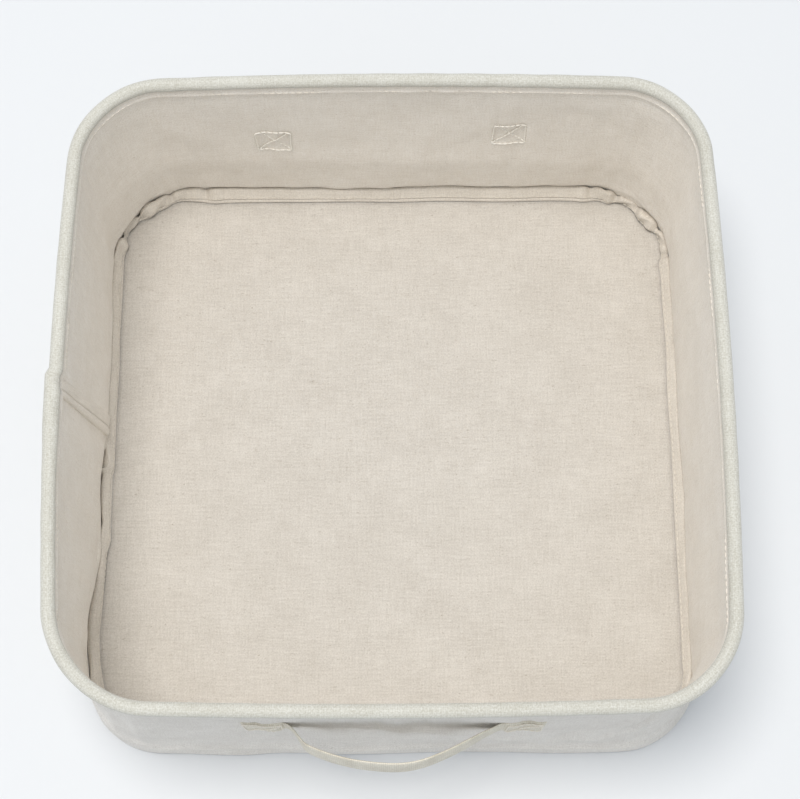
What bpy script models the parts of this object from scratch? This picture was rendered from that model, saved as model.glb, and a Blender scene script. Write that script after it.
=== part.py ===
"""Soft square fabric storage bin with a wire-stiffened rim and two tape handles.

Frame: origin at the bottom centre, +Z up, +X to the right, -Y towards the front handle.
The wall is one strip of canvas closed by a vertical seam at -X.
A steel wire hoop runs in the rim hem, and a board stiffens the base between two fabric panels.
Rings round the bin are written as sections of (inset, height) points.
The inset is measured inwards from the wall's outer face at that height.
"""
import math

import bmesh
import bpy
from mathutils import Vector

# Overall form
HEIGHT = 0.160
FOOT_HALF_X = 0.1746
FOOT_HALF_Y = 0.1742
FOOT_CORNER = 0.054
FOOT_BOW = 0.0003
TOP_HALF_X = 0.1670
TOP_HALF_Y = 0.1658
TOP_CORNER = 0.044
TOP_BOW = 0.0046
WAIST = 0.0030
GAP = 0.0003

# Points round one turn of the outline
CORNER_STEPS = 8
SIDE_STEPS = 6
BOW_FADE = 4

# Wall and base
WALL_THICK = 0.0015
WALL_TOP = 0.1515
WALL_ROWS = 6
OUTER_FABRIC = 0.0010
BOARD_THICK = 0.0025
INNER_FABRIC = 0.0010
FLOOR_INSET = WALL_THICK + GAP

# Seam allowance that stands up round the inside of the base
LIP_THICK = 0.0012
LIP_FOOT_INSET = 0.0088
LIP_EDGE_INSET = 0.0036
LIP_RISE = 0.0078
BINDING_THICK = 0.0007

# Rim
ROLL_RADIUS = 0.0036
HEM_CLOTH = 0.0008
HEM_BOTTOM = 0.1475
WIRE_RADIUS = 0.0016
WIRE_JOINT_GAP = 0.0008
FERRULE_WALL = 0.0007
FERRULE_LENGTH = 0.024
SEAM_Y = 0.004
OVERLAP_LENGTH = 0.016
OVERLAP_CLOTH = 0.0007

# Vertical seam of the wall
WALL_SEAM_WIDTH = 0.0130
WALL_SEAM_THICK = 0.0022
WALL_SEAM_BOTTOM = 0.0165
WALL_SEAM_TOP = 0.1440
WALL_SEAM_FOOT_Y = 0.012
WALL_SEAM_TOP_Y = -0.002

# Handles
TAPE_WIDTH = 0.0250
TAPE_THICK = 0.0018
HANDLE_HEIGHT = 0.0880
TAB_INNER_X = 0.0570
TAB_OUTER_X = 0.0790
TAB_THICK = 0.0028
STRAP_FLAT = 0.0060
STRAP_BULGE = 0.0180
STRAP_SEGMENTS = 28

# Box stitching that holds each tab
STITCH_HEIGHT = 0.0220
STITCH_INNER_X = 0.0585
STITCH_OUTER_X = 0.0775
THREAD = 0.0011
THREAD_DEPTH = 0.0005


def clear_scene():
    for item in list(bpy.data.objects):
        bpy.data.objects.remove(item, do_unlink=True)


def make_material(name, colour, roughness, metallic=0.0):
    material = bpy.data.materials.new(name)
    material.use_nodes = True
    shader = material.node_tree.nodes["Principled BSDF"]
    shader.inputs["Base Color"].default_value = (*colour, 1.0)
    shader.inputs["Roughness"].default_value = roughness
    shader.inputs["Metallic"].default_value = metallic
    return material


def finish(mesh_data, name, material, origin=None):
    """Turn a bmesh into a named object, with its origin where asked."""
    bmesh.ops.recalc_face_normals(mesh_data, faces=mesh_data.faces)
    if origin is not None:
        bmesh.ops.translate(mesh_data, verts=mesh_data.verts, vec=-Vector(origin))
    mesh = bpy.data.meshes.new(name)
    mesh_data.to_mesh(mesh)
    mesh_data.free()
    mesh.materials.append(material)
    thing = bpy.data.objects.new(name, mesh)
    if origin is not None:
        thing.location = origin
    bpy.context.scene.collection.objects.link(thing)
    return thing


def mix(low, high, share):
    return low + (high - low) * share


def size_at(height):
    """Half width, half depth, corner radius and side bow of the wall's outer face."""
    share = height / HEIGHT
    waist = WAIST * 4.0 * share * (1.0 - share)
    return (
        mix(FOOT_HALF_X, TOP_HALF_X, share) - waist,
        mix(FOOT_HALF_Y, TOP_HALF_Y, share) - waist,
        mix(FOOT_CORNER, TOP_CORNER, share),
        mix(FOOT_BOW, TOP_BOW, share),
    )


def bowed(x, y, half_x, half_y, bow):
    """Push a point of the rounded rectangle outwards where its side bows."""
    fade_x = math.copysign(min(abs(x) / half_x, 1.0) ** BOW_FADE, x)
    fade_y = math.copysign(min(abs(y) / half_y, 1.0) ** BOW_FADE, y)
    return (
        x + fade_x * bow * (1.0 - (y / half_y) ** 2),
        y + fade_y * bow * (1.0 - (x / half_x) ** 2),
    )


def outline(height, inset=0.0):
    """Points round the bin at one height, from the front left corner along the front and on round."""
    half_x, half_y, corner, bow = size_at(height)
    half_x -= inset
    half_y -= inset
    corner -= inset
    corners = (
        (-(half_x - corner), -(half_y - corner), 180.0),
        (half_x - corner, -(half_y - corner), 270.0),
        (half_x - corner, half_y - corner, 0.0),
        (-(half_x - corner), half_y - corner, 90.0),
    )
    points = []
    for number, (centre_x, centre_y, start) in enumerate(corners):
        for step in range(CORNER_STEPS + 1):
            angle = math.radians(start + 90.0 * step / CORNER_STEPS)
            points.append((centre_x + corner * math.cos(angle), centre_y + corner * math.sin(angle)))
        here = points[-1]
        after = corners[(number + 1) % 4]
        angle = math.radians(after[2])
        there = (after[0] + corner * math.cos(angle), after[1] + corner * math.sin(angle))
        for step in range(1, SIDE_STEPS):
            share = step / SIDE_STEPS
            points.append((mix(here[0], there[0], share), mix(here[1], there[1], share)))
    return [bowed(x, y, half_x, half_y, bow) for x, y in points]


def wall_y(x, height):
    """Distance of the wall's outer face from the middle plane, on the front or the back."""
    half_x, half_y, corner, bow = size_at(height)
    return bowed(x, half_y, half_x, half_y, bow)[1]


def wall_x(y, height):
    """Distance of the wall's outer face from the middle plane, on the left or the right."""
    half_x, half_y, corner, bow = size_at(height)
    return bowed(half_x, y, half_x, half_y, bow)[0]


def add_loop(mesh_data, height, inset):
    return [mesh_data.verts.new((x, y, height)) for x, y in outline(height, inset)]


def bridge(mesh_data, first, second):
    count = len(first)
    for index in range(count):
        after = (index + 1) % count
        mesh_data.faces.new((first[index], first[after], second[after], second[index]))


def ring(name, section, material):
    """A band that goes right round the bin: section holds (inset, height) points in order."""
    mesh_data = bmesh.new()
    loops = [add_loop(mesh_data, height, inset) for inset, height in section]
    for index, loop in enumerate(loops):
        bridge(mesh_data, loop, loops[(index + 1) % len(loops)])
    return finish(mesh_data, name, material)


def tray(name, section, material):
    """A panel over the whole base: the first and the last loop are filled in."""
    mesh_data = bmesh.new()
    loops = [add_loop(mesh_data, height, inset) for inset, height in section]
    for first, second in zip(loops, loops[1:]):
        bridge(mesh_data, first, second)
    mesh_data.faces.new(loops[0])
    mesh_data.faces.new(loops[-1])
    return finish(mesh_data, name, material)


def sweep(name, sections, material, origin=None):
    """A closed bar through a row of sections that have the same number of points."""
    mesh_data = bmesh.new()
    loops = [[mesh_data.verts.new(point) for point in section] for section in sections]
    for first, second in zip(loops, loops[1:]):
        bridge(mesh_data, first, second)
    mesh_data.faces.new(loops[0])
    mesh_data.faces.new(loops[-1])
    return finish(mesh_data, name, material, origin)


def circle(centre_inset, centre_height, radius, start, end, steps):
    """Arc of a section, from the start angle to the end angle, as (inset, height) points."""
    points = []
    for step in range(steps + 1):
        angle = math.radians(mix(start, end, step / steps))
        points.append((centre_inset + radius * math.cos(angle), centre_height + radius * math.sin(angle)))
    return points


def make_base(canvas, board, tape):
    top = OUTER_FABRIC
    tray("bottom_outer_panel", [(FLOOR_INSET, 0.0), (FLOOR_INSET, top)], canvas)
    low = top + GAP
    top = low + BOARD_THICK
    tray("base_board", [(FLOOR_INSET, low), (FLOOR_INSET, top)], board)
    low = top + GAP
    floor = low + INNER_FABRIC
    run = LIP_FOOT_INSET - LIP_EDGE_INSET
    slope = math.hypot(run, LIP_RISE)
    side = Vector((LIP_RISE, run)) / slope * LIP_THICK
    edge = Vector((LIP_EDGE_INSET, low + LIP_RISE))
    inner_panel = [
        (LIP_FOOT_INSET, low),
        tuple(edge),
        tuple(edge + side),
        (LIP_FOOT_INSET + LIP_THICK, floor),
    ]
    tray("bottom_inner_panel", inner_panel, canvas)
    up = Vector((-run, LIP_RISE)) / slope
    out = side.normalized()
    reach = slope * 0.72
    near = GAP
    far = GAP + BINDING_THICK
    tip = edge + up * near
    binding = [
        edge - up * reach - out * near,
        edge - up * reach - out * far,
        edge + up * (near + BINDING_THICK * 0.5) - out * far,
        edge + up * far - out * near,
        edge + side + up * far + out * near,
        edge + side + up * (near + BINDING_THICK * 0.5) + out * far,
        edge + side - up * reach + out * far,
        edge + side - up * reach + out * near,
        tip + side + out * near,
        tip - out * near,
    ]
    ring("base_seam_binding", [tuple(point) for point in binding], tape)


def make_wall(canvas):
    outside = [(0.0, mix(0.0, WALL_TOP, row / WALL_ROWS)) for row in range(WALL_ROWS + 1)]
    inside = [(WALL_THICK, height) for inset, height in reversed(outside)]
    ring("wall_panel", outside + inside, canvas)


def hem_section(outer_radius, cloth, leg_gap, bottom):
    """Hairpin of cloth over the wire: an open fold with both legs down the wall."""
    centre_inset = WALL_THICK / 2.0
    centre_height = HEIGHT - ROLL_RADIUS
    leg = WALL_THICK / 2.0 + leg_gap
    inner_radius = outer_radius - cloth
    waist = centre_height - ROLL_RADIUS * 1.15
    outer_arc = circle(centre_inset, centre_height, outer_radius, 230.0, -50.0, 9)
    inner_arc = circle(centre_inset, centre_height, inner_radius, -56.0, 236.0, 8)
    return (
        [(centre_inset - leg - cloth, bottom), (centre_inset - leg - cloth, waist)]
        + outer_arc
        + [(centre_inset + leg + cloth, waist), (centre_inset + leg + cloth, bottom)]
        + [(centre_inset + leg, bottom), (centre_inset + leg, waist)]
        + inner_arc
        + [(centre_inset - leg, waist), (centre_inset - leg, bottom)]
    )


def seam_sections(section, y_values):
    """Repeat a section along the left side, through the given distances from the middle."""
    sections = []
    for y in y_values:
        sections.append([(-(wall_x(y, height) - inset), y, height) for inset, height in section])
    return sections


def make_rim(canvas, steel):
    ring("rim_hem", hem_section(ROLL_RADIUS, HEM_CLOTH, GAP, HEM_BOTTOM), canvas)
    centre_inset = WALL_THICK / 2.0
    centre_height = HEIGHT - ROLL_RADIUS
    wire = circle(centre_inset, centre_height, WIRE_RADIUS, 0.0, 315.0, 7)
    loops = []
    for inset, height in wire:
        points = outline(height, inset)
        start = next(
            index
            for index, (x, y) in enumerate(points)
            if x < 0.0 and abs(y) < TOP_HALF_Y / 2.0 and points[index - 1][1] > SEAM_Y >= y
        )
        points = points[start:] + points[:start]
        first = (-(wall_x(SEAM_Y - WIRE_JOINT_GAP / 2.0, height) - inset), SEAM_Y - WIRE_JOINT_GAP / 2.0)
        last = (-(wall_x(SEAM_Y + WIRE_JOINT_GAP / 2.0, height) - inset), SEAM_Y + WIRE_JOINT_GAP / 2.0)
        loops.append([first] + points + [last])
    count = len(loops[0])
    sections = [
        [(*loop[index], height) for loop, (inset, height) in zip(loops, wire)] for index in range(count)
    ]
    sweep("rim_wire", sections, steel)
    make_ferrule(steel, centre_inset, centre_height)
    overlap = hem_section(ROLL_RADIUS + GAP + OVERLAP_CLOTH, OVERLAP_CLOTH, GAP * 2.0 + HEM_CLOTH, HEM_BOTTOM)
    middle = SEAM_Y - OVERLAP_LENGTH / 2.0
    rows = [mix(middle - OVERLAP_LENGTH / 2.0, middle + OVERLAP_LENGTH / 2.0, step / 4.0) for step in range(5)]
    sweep("rim_hem_overlap", seam_sections(overlap, rows), canvas)


def make_ferrule(steel, centre_inset, centre_height):
    """Crimped sleeve over the two ends of the wire."""
    bore = WIRE_RADIUS + GAP
    outside = circle(centre_inset, centre_height, bore + FERRULE_WALL, 0.0, 330.0, 11)
    inside = circle(centre_inset, centre_height, bore, 0.0, 330.0, 11)
    rows = [SEAM_Y + FERRULE_LENGTH * (step / 4.0 - 0.5) for step in range(5)]
    mesh_data = bmesh.new()
    shells = []
    for section in (outside, inside):
        shell = []
        for points in seam_sections(section, rows):
            shell.append([mesh_data.verts.new(point) for point in points])
        shells.append(shell)
        for first, second in zip(shell, shell[1:]):
            bridge(mesh_data, first, second)
    for end in (0, -1):
        bridge(mesh_data, shells[0][end], shells[1][end])
    finish(mesh_data, "rim_wire_ferrule", steel)


def make_wall_seam(tape):
    """Bound allowance of the wall's one seam, inside the left wall, leaning back towards its foot."""
    inner = WALL_THICK + GAP
    rows = 12
    half = WALL_SEAM_WIDTH / 2.0
    sections = []
    for row in range(rows + 1):
        height = mix(WALL_SEAM_BOTTOM, WALL_SEAM_TOP, row / rows)
        middle = mix(WALL_SEAM_FOOT_Y, WALL_SEAM_TOP_Y, row / rows)
        corners = (
            (middle - half, inner),
            (middle + half, inner),
            (middle + half, inner + WALL_SEAM_THICK * 0.6),
            (middle, inner + WALL_SEAM_THICK),
            (middle - half, inner + WALL_SEAM_THICK * 0.6),
        )
        sections.append([(-(wall_x(y, height) - inset), y, height) for y, inset in corners])
    sweep("wall_seam_binding", sections, tape)


def make_tab(name, side, hand, tape):
    """End of a handle tape, folded double and sewn flat on the wall."""
    low = HANDLE_HEIGHT - TAPE_WIDTH / 2.0
    high = HANDLE_HEIGHT + TAPE_WIDTH / 2.0
    sections = []
    for step in range(3):
        x = hand * mix(TAB_INNER_X + GAP, TAB_OUTER_X, step / 2.0)
        section = []
        for height, out in ((low, GAP), (high, GAP), (high, GAP + TAB_THICK), (low, GAP + TAB_THICK)):
            section.append((x, side * (wall_y(x, height) + out), height))
        sections.append(section)
    sweep(name, sections, tape)


def make_strap(name, side, tape):
    """Free middle of a handle tape, standing off the wall in a shallow bow."""
    low = HANDLE_HEIGHT - TAPE_WIDTH / 2.0
    high = HANDLE_HEIGHT + TAPE_WIDTH / 2.0
    seat = wall_y(TAB_INNER_X, low) + GAP
    reach = TAB_INNER_X - STRAP_FLAT
    origin = (0.0, side * seat, high)
    sections = []
    for step in range(STRAP_SEGMENTS + 1):
        x = mix(-TAB_INNER_X, TAB_INNER_X, step / STRAP_SEGMENTS)
        swell = 0.5 + 0.5 * math.cos(math.pi * min(abs(x) / reach, 1.0))
        near = side * (seat + STRAP_BULGE * swell + (wall_y(x, low) + GAP - seat) * (1.0 - swell))
        far = near + side * TAPE_THICK
        sections.append([(x, near, low), (x, near, high), (x, far, high), (x, far, low)])
    sweep(name, sections, tape, origin)


def make_stitch(name, side, hand, thread):
    """Sewn box with both diagonals, as it shows on the inside of the wall."""
    centre_x = (STITCH_INNER_X + STITCH_OUTER_X) / 2.0
    half_x = (STITCH_OUTER_X - STITCH_INNER_X) / 2.0
    half_z = STITCH_HEIGHT / 2.0
    slope = math.hypot(half_x, half_z)
    trim_x = THREAD / 2.0 * slope / half_z
    trim_z = THREAD / 2.0 * slope / half_x
    in_x = half_x - THREAD
    in_z = half_z - THREAD
    triangles = (
        ((-in_x + trim_x, -in_z), (in_x - trim_x, -in_z), (0.0, -trim_z)),
        ((in_x, -in_z + trim_z), (in_x, in_z - trim_z), (trim_x, 0.0)),
        ((in_x - trim_x, in_z), (-in_x + trim_x, in_z), (0.0, trim_z)),
        ((-in_x, in_z - trim_z), (-in_x, -in_z + trim_z), (-trim_x, 0.0)),
    )
    mesh_data = bmesh.new()
    layers = []
    for depth in (GAP, GAP + THREAD_DEPTH):
        points = {}

        def vertex(u, v):
            key = (round(u, 7), round(v, 7))
            if key not in points:
                x = hand * (centre_x + u)
                height = HANDLE_HEIGHT + v
                y = side * (wall_y(x, height) - WALL_THICK - depth)
                points[key] = mesh_data.verts.new((x, y, height))
            return points[key]

        box = [vertex(u, v) for u, v in ((-half_x, -half_z), (half_x, -half_z), (half_x, half_z), (-half_x, half_z))]
        holes = [[vertex(u, v) for u, v in triangle] for triangle in triangles]
        layers.append((box, holes))
        for index in range(4):
            after = (index + 1) % 4
            low_hole = holes[index]
            next_hole = holes[after]
            mesh_data.faces.new((box[index], box[after], low_hole[1], low_hole[0]))
            mesh_data.faces.new((box[after], next_hole[0], low_hole[1]))
            mesh_data.faces.new((low_hole[1], next_hole[0], next_hole[2], low_hole[2]))
        mesh_data.faces.new([hole[2] for hole in holes])
    (near_box, near_holes), (far_box, far_holes) = layers
    bridge(mesh_data, near_box, far_box)
    for near_hole, far_hole in zip(near_holes, far_holes):
        bridge(mesh_data, near_hole, far_hole)
    finish(mesh_data, name, thread)


def make_handles(tape, thread):
    for place, side in (("front", -1.0), ("back", 1.0)):
        make_strap(f"{place}_handle_strap", side, tape)
        for hand_name, hand in (("left", -1.0), ("right", 1.0)):
            make_tab(f"{place}_{hand_name}_handle_tab", side, hand, tape)
            make_stitch(f"{place}_{hand_name}_box_stitch", side, hand, thread)


def main():
    clear_scene()
    canvas = make_material("natural_canvas", (0.66, 0.61, 0.54), 0.92)
    tape = make_material("cotton_tape", (0.68, 0.66, 0.58), 0.90)
    board = make_material("grey_board", (0.42, 0.40, 0.37), 0.85)
    steel = make_material("galvanised_wire", (0.60, 0.61, 0.62), 0.35, 1.0)
    thread = make_material("sewing_thread", (0.76, 0.72, 0.64), 0.75)
    make_base(canvas, board, tape)
    make_wall(canvas)
    make_rim(canvas, steel)
    make_wall_seam(tape)
    make_handles(tape, thread)


main()
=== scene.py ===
"""Looks of the soft fabric storage bin: canvas walls, rolled wire rim, bound base seam and tape handles.

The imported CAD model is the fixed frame. Every visible cloth piece is built here as a fine mesh with
its own UV map in metres, so that weave, slubs and stitches have their real size everywhere.

Outlines run round the bin counter-clockwise as seen from above: they start at the wall's seam
on the left (-X) and pass the front (-Y), the right (+X) and the back (+Y).
"""
import math

import bpy
import numpy as np
from mathutils import Matrix, Vector


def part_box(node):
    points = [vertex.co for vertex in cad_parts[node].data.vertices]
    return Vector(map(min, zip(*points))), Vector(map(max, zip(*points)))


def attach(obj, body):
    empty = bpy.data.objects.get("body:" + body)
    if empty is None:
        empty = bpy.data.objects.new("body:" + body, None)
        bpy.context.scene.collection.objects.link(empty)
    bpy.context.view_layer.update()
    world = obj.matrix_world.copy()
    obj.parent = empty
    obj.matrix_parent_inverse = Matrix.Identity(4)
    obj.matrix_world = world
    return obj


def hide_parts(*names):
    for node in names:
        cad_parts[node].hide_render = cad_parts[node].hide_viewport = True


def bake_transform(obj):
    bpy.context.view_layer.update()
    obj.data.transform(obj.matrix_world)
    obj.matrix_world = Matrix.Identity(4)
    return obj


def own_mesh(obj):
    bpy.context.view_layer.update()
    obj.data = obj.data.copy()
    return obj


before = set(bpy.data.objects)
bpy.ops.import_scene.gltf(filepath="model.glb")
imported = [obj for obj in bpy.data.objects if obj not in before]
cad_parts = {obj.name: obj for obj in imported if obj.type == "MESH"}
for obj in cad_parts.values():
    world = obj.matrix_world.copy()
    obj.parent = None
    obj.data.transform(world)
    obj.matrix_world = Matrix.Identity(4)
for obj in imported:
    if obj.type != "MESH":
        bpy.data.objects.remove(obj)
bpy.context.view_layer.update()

# ---------------------------------------------------------------- driving sizes, in metres
WALL_LOW, WALL_HIGH = [Vector(corner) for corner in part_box("wall_panel")]
HEM_LOW, HEM_HIGH = [Vector(corner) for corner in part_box("rim_hem")]
TAB_LOW, TAB_HIGH = [Vector(corner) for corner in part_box("front_right_handle_tab")]
FLOOR_TOP = 0.0051

RIM_TOP = HEM_HIGH.z
ROLL_RADIUS = 0.0036
ROLL_CENTRE = RIM_TOP - ROLL_RADIUS
HEM_BOTTOM = HEM_LOW.z
WALL_TOP = WALL_HIGH.z
CLOTH = 0.0015
HALF_CLOTH = CLOTH / 2.0

FOOT_HALF_X = WALL_HIGH.x - 0.0003
FOOT_HALF_Y = WALL_HIGH.y - 0.0003
TOP_HALF_X = 0.1670
TOP_HALF_Y = 0.1658
TOP_CORNERS = (0.048, 0.044, 0.041, 0.042)  # front left, front right, back right, back left
FOOT_CORNERS = (0.042, 0.046, 0.054, 0.054)
TOP_BOWS = (0.0058, 0.0036, 0.0048, 0.0044)  # left, front, right, back
FOOT_BOWS = (0.0, 0.0004, 0.0004, 0.0004)
WAIST = 0.0030
TOP_TUCK = 0.0016
LAP_SHIFT = 0.0013
SEAM_Y = 0.004

TAPE_WIDTH = TAB_HIGH.z - TAB_LOW.z
HANDLE_Z = (TAB_HIGH.z + TAB_LOW.z) / 2.0
TAPE_THICK = 0.0018
TAB_THICK = 0.0014
TAB_SINK = 0.0005
TAB_IN = TAB_LOW.x
TAB_OUT = TAB_HIGH.x

FOOT_BAND = 0.0140  # below this height the wall stands round the base and never crumples

COLUMNS = 720
WALL_ROWS = 64


# ---------------------------------------------------------------- shape functions
def smooth(value):
    value = np.clip(value, 0.0, 1.0)
    return value * value * (3.0 - 2.0 * value)


def bump(value, centre, width):
    """Bell curve of height 1."""
    return np.exp(-(((value - centre) / width) ** 2))


def rounded_outline(half_x, half_y, corners, bows, count=COLUMNS):
    """Evenly spaced points round a bowed rounded rectangle, from the wall seam on."""
    centres = (
        (-1, -1, 180.0, corners[0]),
        (1, -1, 270.0, corners[1]),
        (1, 1, 0.0, corners[2]),
        (-1, 1, 90.0, corners[3]),
    )
    points = [np.array([[-half_x, SEAM_Y]])]
    for side_x, side_y, start, radius in centres:
        angle = np.radians(start + np.linspace(0.0, 90.0, 40))
        middle = np.array([side_x * (half_x - radius), side_y * (half_y - radius)])
        points.append(middle + radius * np.stack([np.cos(angle), np.sin(angle)], axis=1))
    points.append(np.array([[-half_x, SEAM_Y]]))
    line = np.concatenate(points)
    length = np.concatenate([[0.0], np.cumsum(np.linalg.norm(np.diff(line, axis=0), axis=1))])
    at = np.linspace(0.0, length[-1], count, endpoint=False)
    x = np.interp(at, length, line[:, 0])
    y = np.interp(at, length, line[:, 1])
    left, front, right, back = bows
    reach_x = np.clip(x / half_x, -1.0, 1.0)
    reach_y = np.clip(y / half_y, -1.0, 1.0)
    bow_x = np.where(x > 0.0, right, left) * np.sign(x) * reach_x**4 * (1.0 - reach_y**2)
    bow_y = np.where(y > 0.0, back, front) * np.sign(y) * reach_y**4 * (1.0 - reach_x**2)
    return np.stack([x + bow_x, y + bow_y], axis=1)


def outward(line):
    """Unit normals of a closed counter-clockwise outline."""
    along = np.roll(line, -1, axis=0) - np.roll(line, 1, axis=0)
    normal = np.stack([along[:, 1], -along[:, 0]], axis=1)
    return normal / np.linalg.norm(normal, axis=1, keepdims=True)


def level_row(line, height):
    """Points of an outline laid at one height."""
    return np.column_stack([line, np.full(len(line), height)])


FOOT_LINE = rounded_outline(FOOT_HALF_X, FOOT_HALF_Y, FOOT_CORNERS, FOOT_BOWS)
TOP_LINE = rounded_outline(TOP_HALF_X, TOP_HALF_Y, TOP_CORNERS, TOP_BOWS)
NORMAL = outward(0.5 * (FOOT_LINE + TOP_LINE))
ROUND = np.arange(COLUMNS) / COLUMNS
GIRTH = float(np.linalg.norm(np.roll(TOP_LINE, -1, axis=0) - TOP_LINE, axis=1).sum())


def drift(seed, waves, tallest=3):
    """Smooth noise on (turn round the bin, share of height), closed round the bin, about 1 in size."""
    generator = np.random.default_rng(seed)
    terms = []
    for number in range(14):
        turns = int(generator.integers(waves[0], waves[1] + 1))
        rises = generator.uniform(0.2, tallest)
        phase = generator.uniform(0.0, 2.0 * math.pi, 2)
        terms.append((turns, rises, phase[0], phase[1]))

    def field(around, share):
        total = 0.0
        for turns, rises, first, second in terms:
            level = np.cos(math.pi * rises * share + second)
            total = total + np.cos(2.0 * math.pi * turns * around + first) * level
        return total / math.sqrt(len(terms))

    return field


def turn_at(x, y):
    """Place round the bin, from 0 to 1, whose foot is nearest to a point."""
    return float(np.argmin(np.hypot(FOOT_LINE[:, 0] - x, FOOT_LINE[:, 1] - y))) / COLUMNS


def around_gap(around, centre):
    """Signed distance round the bin in metres."""
    return ((around - centre + 0.5) % 1.0 - 0.5) * GIRTH


LAP_GAP = around_gap(ROUND, 0.0)
LAP_STEP = smooth((LAP_GAP + 0.001) / 0.002) * (1.0 - smooth((LAP_GAP - 0.03) / 0.11))

# A fold is (x, y of its foot, height, length, width, tilt in degrees from level, depth; plus is outwards).
FOLDS = (
    (0.127, -0.172, 0.098, 0.034, 0.0042, 82.0, 0.0028),
    (0.136, -0.170, 0.084, 0.024, 0.0040, 78.0, 0.0026),
    (0.131, -0.172, 0.090, 0.030, 0.0035, 80.0, -0.0020),
    (0.115, -0.172, 0.044, 0.026, 0.0042, 38.0, 0.0028),
    (0.096, -0.172, 0.048, 0.020, 0.0040, 62.0, -0.0020),
    (0.160, -0.154, 0.050, 0.048, 0.0220, 90.0, -0.0042),
    (-0.088, -0.172, 0.010, 0.028, 0.0050, 0.0, -0.0014),
    (0.006, -0.172, 0.070, 0.046, 0.0060, -23.0, 0.0028),
    (0.000, -0.172, 0.088, 0.050, 0.0080, -16.0, -0.0014),
    (0.060, -0.172, 0.046, 0.016, 0.0042, -4.0, 0.0026),
    (0.080, -0.172, 0.030, 0.015, 0.0040, -52.0, 0.0014),
    (-0.068, -0.172, 0.108, 0.018, 0.0100, 0.0, 0.0010),
    (-0.068, -0.172, 0.074, 0.018, 0.0100, 0.0, -0.0016),
    (-0.140, -0.165, 0.060, 0.030, 0.0080, 70.0, 0.0014),
    (-0.105, -0.172, 0.040, 0.030, 0.0070, 20.0, -0.0012),
    (-0.150, 0.160, 0.110, 0.030, 0.0090, 75.0, 0.0016),
    (-0.120, 0.174, 0.100, 0.040, 0.0100, 50.0, -0.0014),
    (0.110, 0.174, 0.120, 0.050, 0.0090, 30.0, 0.0012),
    (-0.010, 0.174, 0.060, 0.160, 0.0130, 1.5, -0.0030),
    (0.060, 0.174, 0.092, 0.030, 0.0070, -35.0, 0.0010),
    (-0.174, -0.080, 0.075, 0.050, 0.0120, 80.0, -0.0012),
    (-0.174, 0.110, 0.040, 0.030, 0.0160, 95.0, 0.0014),
    (-0.174, 0.020, 0.030, 0.040, 0.0220, 0.0, -0.0032),
    (-0.174, -0.018, 0.020, 0.022, 0.0200, 0.0, 0.0032),
    (-0.174, -0.064, 0.022, 0.014, 0.0180, 0.0, -0.0012),
    (0.080, 0.174, 0.104, 0.034, 0.0240, 0.0, 0.0022),
    (-0.174, -0.106, 0.022, 0.024, 0.0200, 0.0, 0.0058),
    (0.174, 0.020, 0.036, 0.060, 0.0180, 0.0, -0.0014),
    (0.174, 0.040, 0.070, 0.060, 0.0120, 85.0, 0.0010),
    (0.174, -0.090, 0.050, 0.050, 0.0100, 60.0, -0.0012),
)
# Waves of the front wall's foot: (x, reach, depth).
FOOT_WAVES = (
    (-0.088, 0.026, 0.0016),
    (-0.007, 0.030, 0.0008),
    (0.097, 0.032, 0.0014),
    (-0.064, 0.014, -0.0006),
)

WALL_DRIFT = drift(11, (5, 17))
WALL_RIPPLE = drift(12, (24, 60), tallest=5)


def wall_swell(around, height):
    """How far the wall stands out from its plain taper, in metres."""
    share = height / WALL_TOP
    held = smooth(share / 0.07) * smooth((1.0 - share) / 0.16)
    swell = -WAIST * 4.0 * share * (1.0 - share) - TOP_TUCK * smooth((height - 0.116) / 0.028)
    swell = swell + LAP_SHIFT * LAP_STEP * smooth((share - 0.55) / 0.40)
    swell = swell + held * (0.0011 * WALL_DRIFT(around, share) + 0.00035 * WALL_RIPPLE(around, share))
    at_foot = np.exp(-height / 0.020) * (FOOT_LINE[:, 1] < -0.15)
    for x, reach, depth in FOOT_WAVES:
        swell = swell + depth * at_foot * bump(FOOT_LINE[:, 0], x, reach)
    for x, y, middle, length, width, tilt, depth in FOLDS:
        across = around_gap(around, turn_at(x, y))
        rise = height - middle
        lean = math.radians(tilt)
        run = across * math.cos(lean) + rise * math.sin(lean)
        side = -across * math.sin(lean) + rise * math.cos(lean)
        swell = swell + depth * held * np.exp(-((run / length) ** 2) - (side / width) ** 2)
    return swell


BOX_MIDDLE_X = (TAB_IN + TAB_OUT) / 2.0
BOX_HALF_X = 0.0095
BOX_HALF_Z = 0.0110
BOX_DEPTH = 0.0015
BOX_LIFT = 0.0060  # the back handle's right end is sewn a little high


def sewn_lift(side, x):
    """How far above its twin a handle end is sewn."""
    return BOX_LIFT * smooth(np.asarray(x, dtype=float) * side / 0.05) * (side > 0.0)


def box_dent(line, height):
    """How far the stitched boxes pull the wall outwards, towards the tapes."""
    near_x = smooth((BOX_HALF_X + 0.0015 - np.abs(np.abs(line[:, 0]) - BOX_MIDDLE_X)) / 0.003)
    middle = HANDLE_Z + np.where(line[:, 1] > 0.0, sewn_lift(1.0, line[:, 0]), 0.0)
    near_z = smooth((BOX_HALF_Z + 0.0015 - np.abs(height - middle)) / 0.003)
    on_side = np.abs(line[:, 1]) > 0.12
    return BOX_DEPTH * near_x * near_z * on_side


def wall_plan(height, inset):
    """Points of one level loop of the wall. The inset is measured inwards from the outer face."""
    share = height / RIM_TOP
    line = FOOT_LINE + (TOP_LINE - FOOT_LINE) * share
    tuck = 0.0036 * (1.0 - math.sqrt(max(0.0, 1.0 - max(0.0, 1.0 - height / 0.006) ** 2)))
    out = wall_swell(ROUND, height) - inset - tuck + box_dent(line, height)
    flat = line + NORMAL * out[:, None]
    return level_row(flat, height)


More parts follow.
